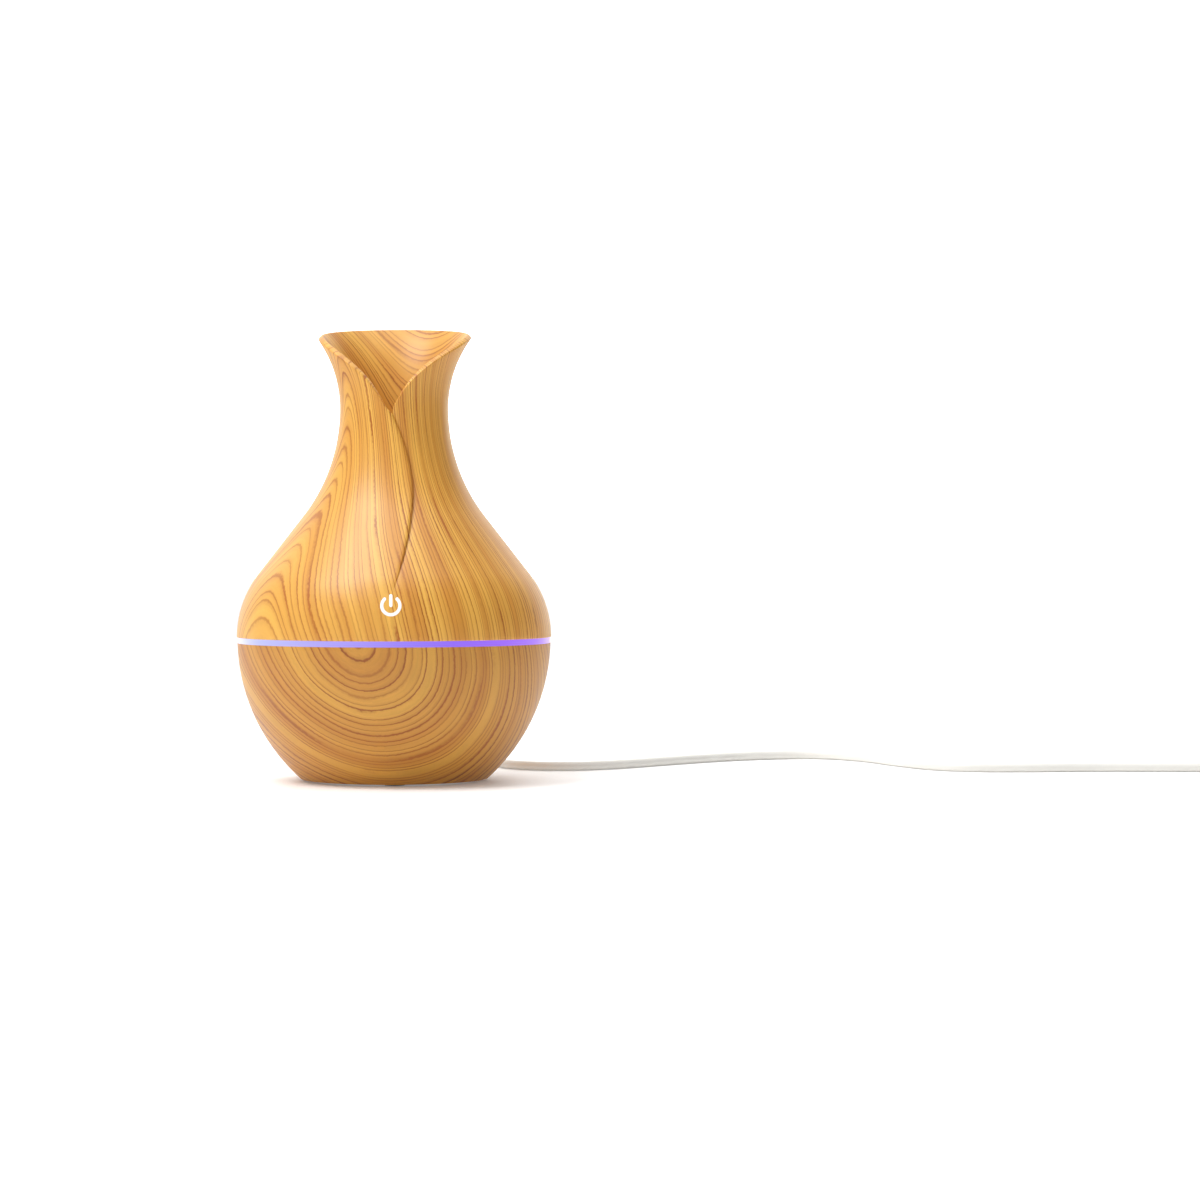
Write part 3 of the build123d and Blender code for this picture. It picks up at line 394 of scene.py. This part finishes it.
# %% [markdown]
# ## The cover
#
# The cover is a bottle-like wall whose mouth is folded like a petal. It could be spun from a
# profile, but then its rim would be level and the fold would have to be cut in. Wrapping a flat
# grid is simpler: across the grid goes the angle round the vase, up the grid goes the wall's
# whole outline, up the outside, over the lip and down the inside. Each corner of the grid is
# then moved to its place, and the two edges that meet are merged.
#
# The columns crowd together at the fold, and the column in the middle follows the fold line, so
# that its edge stays crisp.

# %% The cover's outline
cover_low, cover_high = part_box("vase_cover")
SEAT = cover_low[2] / MM
TOP = cover_high[2] / MM
BELLY_RADIUS = cover_high[0] / MM
BELLY_ARC = 33.0
NECK_RADIUS = 17.2
NECK_HEIGHT = SEAT + 72.7
SIDE_LEAN = math.radians(37.85)
WALL = 2.0
LIP_WALL = 1.9
FLARE_RUN, FLARE_RISE = 11.2, 26.9

belly_middle = BELLY_RADIUS - BELLY_ARC
reach = (NECK_RADIUS - belly_middle) * math.cos(SIDE_LEAN) + (NECK_HEIGHT - SEAT) * math.sin(SIDE_LEAN)
NECK_ARC = (reach - BELLY_ARC) / (1 - math.cos(SIDE_LEAN))
FLARE_ARC = (FLARE_RUN ** 2 + FLARE_RISE ** 2) / (2 * FLARE_RUN)
belly_top = SEAT + BELLY_ARC * math.sin(SIDE_LEAN)
neck_foot = NECK_HEIGHT - NECK_ARC * math.sin(SIDE_LEAN)


def outer_radius(z):
    """The cover's outer radius at a height, in mm."""
    if z < belly_top:
        return belly_middle + math.sqrt(BELLY_ARC ** 2 - (z - SEAT) ** 2)
    if z < neck_foot:
        return belly_middle + BELLY_ARC * math.cos(SIDE_LEAN) - (z - belly_top) * math.tan(SIDE_LEAN)
    arc = NECK_ARC if z < NECK_HEIGHT else FLARE_ARC
    return NECK_RADIUS + arc - math.sqrt(arc ** 2 - (z - NECK_HEIGHT) ** 2)


def lean(z):
    """The outline's unit tangent at a height, as (radius, height)."""
    step = 0.05
    rise = Vector((outer_radius(z + step) - outer_radius(z - step), 2 * step))
    return rise.normalized()


print("neck arc", round(NECK_ARC, 1), "mm, flare arc", round(FLARE_ARC, 1), "mm")

# %% [markdown]
# The rim falls from the back to the two side corners, and from there in two curved lips to the
# notch in front. The fold runs on down from the notch in a long arc. The left petal stands over
# the right one, by a millimetre at the notch and by two half-way down, and the step fades out
# above the power symbol.

# %% The rim and the fold
NOTCH_TURN = math.radians(-4.5)
LIP_RADIUS = LIP_WALL / 2
RIM_NOTCH_DROP = 3.1      # from the neck down to the notch, in mm
RIM_PETAL_RISE = 13.6     # the lips' quick rise beside the notch
RIM_PETAL_TURN = 27       # the angle over which it is mostly done, in degrees
RIM_PETAL_SLOPE = 0.132   # their slow rise, in mm a degree
RIM_BACK_DROP = 4.0       # the side corners below the highest edge
RIM_BACK_SWING = 3.35     # how much higher the back stands than the sides
FOLD_TOP = NECK_HEIGHT - 0.8
FOLD_FOOT = 61.5
FOLD_BULGE = 92.0


def smooth_min(a, b, reach):
    """The lesser of two values, rounded where they cross."""
    mix = max(reach - abs(a - b), 0.0) / reach
    return min(a, b) - mix * mix * reach / 4


def rim_height(turn):
    """The lip's height at an angle from the notch, in mm."""
    away = abs(turn)
    degrees = math.degrees(away)
    petal = RIM_PETAL_RISE * (1 - math.exp(-degrees / RIM_PETAL_TURN)) + RIM_PETAL_SLOPE * degrees
    front = NECK_HEIGHT - RIM_NOTCH_DROP + petal
    back = TOP - LIP_RADIUS - RIM_BACK_DROP - RIM_BACK_SWING * math.cos(away)
    return smooth_min(front, back, 1.6) - 0.05


def fold_x(z):
    """The fold line's place across the front, in mm: it swings right and back again."""
    if z > FOLD_BULGE:
        return 5.75 - 0.0213 * (z - FOLD_BULGE) ** 1.8
    return 5.75 - 0.0128 * (FOLD_BULGE - z) ** 1.8


def fold_turn(z):
    """The fold line's angle from the front at a height."""
    z = min(max(z, FOLD_FOOT - 6.0), FOLD_TOP)
    return math.asin(fold_x(z) / outer_radius(z))


def fold_lift(z, arc):
    """How far the surface stands out beside the fold; arc is the distance across it, in mm."""
    fade = min(max((z - FOLD_FOOT) / (FOLD_TOP - FOLD_FOOT), 0.0), 1.0)
    step = 1.2 * math.sqrt(fade) + 1.7 * math.sin(math.pi * fade)
    if arc <= 0:
        edge = min(-arc / 1.5, 1.0)
        rounding = 0.5 * (1 - math.sqrt(max(0.0, 1 - (1 - edge) ** 2)))
        return step * (0.4 * math.exp(arc / 7.0) - rounding)
    return -step * (0.35 * math.exp(-arc / 4.0) + 0.2 * math.exp(-arc / 1.2))


print("rim from", round(rim_height(0), 1), "to", round(rim_height(math.pi), 1), "mm")

# %% [markdown]
# The columns are spread so that on the belly they are about a tenth of a millimetre apart at the
# fold, and about a millimetre and a half apart at the back. Each column's angle is bent towards
# the fold line in front and left as it is behind.

# %% Wrap the grid into the cover
COLUMNS = 300
OUTER_ROWS, CAP_ROWS, INNER_ROWS, FOOT_ROWS = 104, 12, 46, 5
ROWS = OUTER_ROWS + CAP_ROWS + INNER_ROWS + FOOT_ROWS
FOOT_ROUNDING = 0.35


def column_turn(column):
    """A column's angle from the fold."""
    part = 2 * column / COLUMNS - 1
    return math.copysign(math.pi * abs(part) ** 1.45, part)


def bent_turn(turn, z):
    """The angle from the front of a point that is `turn` from the fold line."""
    hold = (1 + math.cos(turn)) / 2
    return turn + hold * fold_turn(z) + (1 - hold) * NOTCH_TURN


def wall_point(row, turn):
    """A grid corner's radius, height and angle."""
    rim = rim_height(turn)
    foot = SEAT + FOOT_ROUNDING
    if row <= OUTER_ROWS:
        z = foot + (rim - foot) * row / OUTER_ROWS
        bent = bent_turn(turn, z)
        arc = turn * outer_radius(z)
        return outer_radius(z) + fold_lift(z, arc), z, bent
    tangent = lean(rim)
    outward = Vector((tangent.y, -tangent.x))
    bent = bent_turn(turn, rim)
    lift = fold_lift(rim, turn * outer_radius(rim))
    edge = Vector((outer_radius(rim) + lift, rim))
    if row <= OUTER_ROWS + CAP_ROWS:
        swing = math.pi * (row - OUTER_ROWS) / CAP_ROWS
        middle = edge - outward * LIP_RADIUS
        across = math.copysign(abs(math.cos(swing)) ** 0.6, math.cos(swing))
        place = middle + LIP_RADIUS * (outward * across + 0.7 * tangent * math.sin(swing) ** 0.6)
        return place.x, place.y, bent
    if row <= OUTER_ROWS + CAP_ROWS + INNER_ROWS:
        down = (row - OUTER_ROWS - CAP_ROWS) / INNER_ROWS
        z = rim + (foot - rim) * down
        thickness = LIP_WALL + (WALL - LIP_WALL) * min(1.0, (rim - z) / 9.0)
        away = Vector((lean(z).y, -lean(z).x))
        shared = fold_lift(rim, turn * outer_radius(rim)) * math.exp(-(rim - z) / 3.0)
        place = Vector((outer_radius(z) + shared, z)) - away * thickness
        return place.x, max(place.y, SEAT + FOOT_ROUNDING), bent_turn(turn, z)
    around = (row - OUTER_ROWS - CAP_ROWS - INNER_ROWS) / FOOT_ROWS
    bent = bent_turn(turn, foot)
    inner, outer = BELLY_RADIUS - WALL, BELLY_RADIUS
    if around <= 0.2:
        return inner, SEAT, bent
    swing = (around - 0.2) / 0.8 * math.pi / 2
    return (
        outer - FOOT_ROUNDING + FOOT_ROUNDING * math.sin(swing),
        SEAT + FOOT_ROUNDING - FOOT_ROUNDING * math.cos(swing),
        bent,
    )


def start_piece(name):
    """Name the new primitive and give it a mesh of that name."""
    piece = bpy.context.object
    piece.name = name
    piece.data.name = name
    return piece


bpy.ops.object.select_all(action="DESELECT")
bpy.ops.mesh.primitive_grid_add(x_subdivisions=COLUMNS, y_subdivisions=ROWS, size=1.0)
cover = start_piece("petal_cover")
for vertex in cover.data.vertices:
    column = round((vertex.co.x + 0.5) * COLUMNS)
    row = round((vertex.co.y + 0.5) * ROWS)
    radius, z, angle = wall_point(row, column_turn(column))
    vertex.co = (radius * math.sin(angle) * MM, -radius * math.cos(angle) * MM, z * MM)


def close_seams(piece, gap=2e-6):
    """Merge what meets and point every face outwards."""
    bpy.ops.object.select_all(action="DESELECT")
    piece.select_set(True)
    bpy.context.view_layer.objects.active = piece
    bpy.ops.object.mode_set(mode="EDIT")
    bpy.ops.mesh.select_all(action="SELECT")
    bpy.ops.mesh.remove_doubles(threshold=gap)
    bpy.ops.mesh.normals_make_consistent(inside=False)
    bpy.ops.object.mode_set(mode="OBJECT")


close_seams(cover)
bpy.ops.object.shade_smooth_by_angle(angle=math.radians(38))
cover.data.materials.append(cover_wood)
cover.data.materials.append(mouth_wood)
for face in cover.data.polygons:
    face.material_index = int(face.normal.x * face.center.x + face.normal.y * face.center.y < 0)
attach(cover, "cover")
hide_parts("vase_cover")
print("cover:", len(cover.data.polygons), "faces")

# %% [markdown]
# ## The power symbol
#
# The symbol is screen-printed ink: a ring that is open at the top, and a bar that stands in the
# gap. Two thin strips are made as flat grids and wrapped onto the belly, a few hundredths of a
# millimetre proud, with round ends.

# %% Print the symbol
SYMBOL_X, SYMBOL_Z = -1.1, SEAT + 10.9
SYMBOL_RADIUS, STROKE = 2.75, 1.0
GAP_HALF_ANGLE = math.radians(33)
BAR = (-0.45, 3.5)
INK = 0.06


def printed_strip(name, steps, centre_line):
    """A strip of ink along a line given by centre_line(part) -> x, z, in mm about the symbol."""
    bpy.ops.object.select_all(action="DESELECT")
    bpy.ops.mesh.primitive_grid_add(x_subdivisions=steps, y_subdivisions=8, size=1.0)
    strip = start_piece(name)
    for vertex in strip.data.vertices:
        part = vertex.co.x + 0.5
        across = vertex.co.y * STROKE
        here = Vector(centre_line(part))
        ahead = Vector(centre_line(min(part + 0.001, 1.0))) - Vector(centre_line(max(part - 0.001, 0.0)))
        ahead.normalize()
        end = min(part, 1 - part) * steps
        pull = (STROKE / 2 - math.sqrt((STROKE / 2) ** 2 - across ** 2)) if end < 0.5 else 0.0
        inwards = 1 if part < 0.5 else -1
        flat = here + Vector((-ahead.y, ahead.x)) * across + ahead * inwards * pull
        x, z = SYMBOL_X + flat.x, SYMBOL_Z + flat.y
        radius = outer_radius(z) + INK
        vertex.co = (x * MM, -math.sqrt(radius ** 2 - x ** 2) * MM, z * MM)
    wall = strip.modifiers.new("ink", "SOLIDIFY")
    wall.thickness = 3 * INK * MM
    wall.offset = -1.0
    bpy.ops.object.modifier_apply(modifier=wall.name)
    return strip


def ring_line(part):
    """The open ring, from one side of the gap round to the other."""
    angle = math.pi / 2 + GAP_HALF_ANGLE + part * (2 * math.pi - 2 * GAP_HALF_ANGLE)
    return SYMBOL_RADIUS * math.cos(angle), SYMBOL_RADIUS * math.sin(angle)


def bar_line(part):
    """The bar, from its foot up."""
    return 0.0, BAR[0] + part * (BAR[1] - BAR[0])


symbol = printed_strip("power_symbol_ring", 64, ring_line)
bar = printed_strip("power_symbol_bar", 10, bar_line)
bpy.ops.object.select_all(action="DESELECT")
bar.select_set(True)
symbol.select_set(True)
bpy.context.view_layer.objects.active = symbol
bpy.ops.object.join()
symbol.name = "printed_power_symbol"
close_seams(symbol, 1e-7)
symbol.data.materials.clear()
symbol.data.materials.append(finishes["symbol_ink"])
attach(symbol, "cover")
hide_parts("power_symbol")
print("symbol:", len(symbol.data.polygons), "faces")

# %% [markdown]
# ## The lead
#
# The lead is about a metre of thin PVC cord. It leaves the plug at the back, turns round behind
# the bowl, wanders over the table to the right, and its spare length is wound in a small coil
# with the USB plug beside it. A NURBS spline through listed points gives one smooth line,
# and the coil's turns are more points of the same spline, two layers of three turns.

# %% Lay the cord
CORD_RADIUS = 1.5
LYING = 1.55
PLUG_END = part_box("dc_plug")[1][1] / MM
PLUG_HEIGHT = 11.0
COIL_LOW, COIL_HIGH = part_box("cord_coil")
COIL_X = (COIL_LOW[0] + COIL_HIGH[0]) / 2 / MM
COIL_Y = (COIL_LOW[1] + COIL_HIGH[1]) / 2 / MM
COIL_OUTER = (COIL_HIGH[0] - COIL_LOW[0]) / 2 / MM - CORD_RADIUS
ENTRY_Y = COIL_Y + COIL_OUTER

route = [
    (0.0, PLUG_END, PLUG_HEIGHT),
    (0.4, 69.0, 9.4),
    (1.8, 84.5, 2.8),
    (17.0, 94.0, LYING),
    (32.5, 84.5, LYING),
    (33.0, 65.0, LYING),
    (38.5, 45.5, LYING),
    (54.0, 36.5, LYING),
    (72.0, 42.5, LYING),
    (96.0, 66.5, LYING),
    (120.0, 86.5, LYING),
    (147.0, 94.5, LYING),
    (162.0, 77.5, LYING),
    (169.0, 53.0, LYING),
    (181.0, 26.0, LYING),
    (203.0, 21.5, LYING),
    (233.0, 23.5, LYING),
    (262.0, ENTRY_Y + 0.6, LYING),
    (COIL_X - 9.0, ENTRY_Y, LYING),
]

# %% Wind the spare length
POINTS_PER_TURN = 24
TURNS = 5.25
TURN_PITCH = 2 * CORD_RADIUS


def ease(value, low, high):
    """0 before low, 1 after high, smooth between."""
    part = min(max((value - low) / (high - low), 0.0), 1.0)
    return part * part * (3 - 2 * part)


def coil_place(turn):
    """Radius and height of the winding after so many turns: in below, up, and out on top."""
    whole = min(int(turn), 5)
    part = turn - whole
    inwards = min(whole + ease(part, 0.8, 1.0), 2.0)
    climb = ease(turn, 2.6, 2.8)
    outwards = sum(ease(turn, start + 0.4, start + 0.6) for start in (3, 4))
    return COIL_OUTER - TURN_PITCH * (inwards - outwards), LYING + TURN_PITCH * climb


for step in range(int(POINTS_PER_TURN * TURNS) + 1):
    turn = step / POINTS_PER_TURN
    radius, height = coil_place(turn)
    angle = math.pi / 2 - turn * 2 * math.pi
    radius *= 1.004
    route.append((COIL_X + radius * math.cos(angle), COIL_Y + radius * math.sin(angle), height))

USB_LOW, USB_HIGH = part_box("usb_body")
usb_x = (USB_LOW[0] + USB_HIGH[0]) / 2 / MM
usb_entry = USB_HIGH[1] / MM
usb_height = (USB_LOW[2] + USB_HIGH[2]) / 2 / MM
route += [(usb_x, COIL_Y - 8.0, LYING + TURN_PITCH), (usb_x, usb_entry - 1.0, usb_height)]

bpy.ops.object.select_all(action="DESELECT")
curve = bpy.data.curves.new("power_lead", "CURVE")
curve.dimensions = "3D"
spline = curve.splines.new("NURBS")
spline.points.add(len(route) - 1)
for point, place in zip(spline.points, route):
    point.co = (*(value * MM for value in place), 1.0)
spline.order_u = 3
spline.use_endpoint_u = True
spline.resolution_u = 8
curve.bevel_depth = CORD_RADIUS * MM
curve.bevel_resolution = 5
curve.use_fill_caps = True
cord = bpy.data.objects.new("power_lead", curve)
bpy.context.scene.collection.objects.link(cord)
cord.data.materials.append(finishes["cord_cover"])
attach(cord, "lead")
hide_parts("power_cord", "cord_coil", "cord_tail")
line = sum(spline.calc_length() for spline in curve.splines)
print("cord:", round(line, 3), "m")

# %% [markdown]
# ## Table, light and camera
#
# The object stands on a white table in an even studio. A large soft light from the front left
# gives the belly its broad highlight, and the white surroundings fill the shadows, so that only
# a short contact shadow is left under the bowl.

# %% The table and the backdrop
def lit_white(name, glow):
    """Opal acrylic lit from behind: white, with an even glow of its own."""
    return moulded(
        name, "F4F4F4", 0.6, mottle=0.0, depth=0.0, Emission_Strength=glow, Emission_Color=(1, 1, 1, 1),
    )


bpy.ops.object.select_all(action="DESELECT")
bpy.ops.mesh.primitive_plane_add(size=12.0, location=(0, 0, 0))
table = start_piece("table_top")
table.data.materials.append(lit_white("Light table", 0.13))
bpy.ops.mesh.primitive_plane_add(size=12.0, location=(0, 5.9, 3.0), rotation=(math.pi / 2, 0, 0))
backdrop = start_piece("backdrop")
backdrop.data.materials.append(lit_white("Lit backdrop", 1.1))


# %% The lights
def soft_light(name, place, aim, size, power):
    """A square soft box that points at a place."""
    bpy.ops.object.light_add(type="AREA", location=place)
    lamp = bpy.context.object
    lamp.name = name
    lamp.data.name = name
    lamp.data.size = size
    lamp.data.energy = power
    lamp.rotation_euler = (Vector(aim) - Vector(place)).to_track_quat("-Z", "Y").to_euler()


soft_light("key_light", (-0.45, -0.25, 0.95), (0, 0, 0.08), 0.5, 7.0)
soft_light("top_light", (0.1, 0.1, 1.9), (0.1, 0.1, 0), 1.6, 17.0)

# %% [markdown]
# The room is pale, and darker on the right, which keeps a shaded side on the vase.

# %% The room
world = bpy.data.worlds.new("studio")
bpy.context.scene.world = world
world.use_nodes = True
room = world.node_tree
direction = add_node(room, "ShaderNodeTexCoord").outputs["Generated"]
sideways = add_node(room, "ShaderNodeSeparateXYZ", Vector=direction).outputs["X"]
across_room = maths(room, "MULTIPLY_ADD", sideways, 0.5, 0.5)
level = ramp(room, across_room, (0.0, 0.65), (0.5, 0.55), (0.72, 0.25), (1.0, 0.2))
room.links.new(level, room.nodes["Background"].inputs["Color"])
bpy.context.scene.view_settings.view_transform = "Standard"
print("lights are set")

# %% The camera
CAMERA_PLACE = (0.0, -1.040, 0.0756)
CAMERA_AIM = (0.0657, 0.0, 0.0574)
camera_data = bpy.data.cameras.new("studio_camera")
camera_data.sensor_width = 36.0
camera_data.lens = 97.65
camera_data.clip_end = 50.0
camera = bpy.data.objects.new("studio_camera", camera_data)
bpy.context.scene.collection.objects.link(camera)
camera.location = CAMERA_PLACE
camera.rotation_euler = (Vector(CAMERA_AIM) - Vector(CAMERA_PLACE)).to_track_quat("-Z", "Y").to_euler()
bpy.context.scene.camera = camera
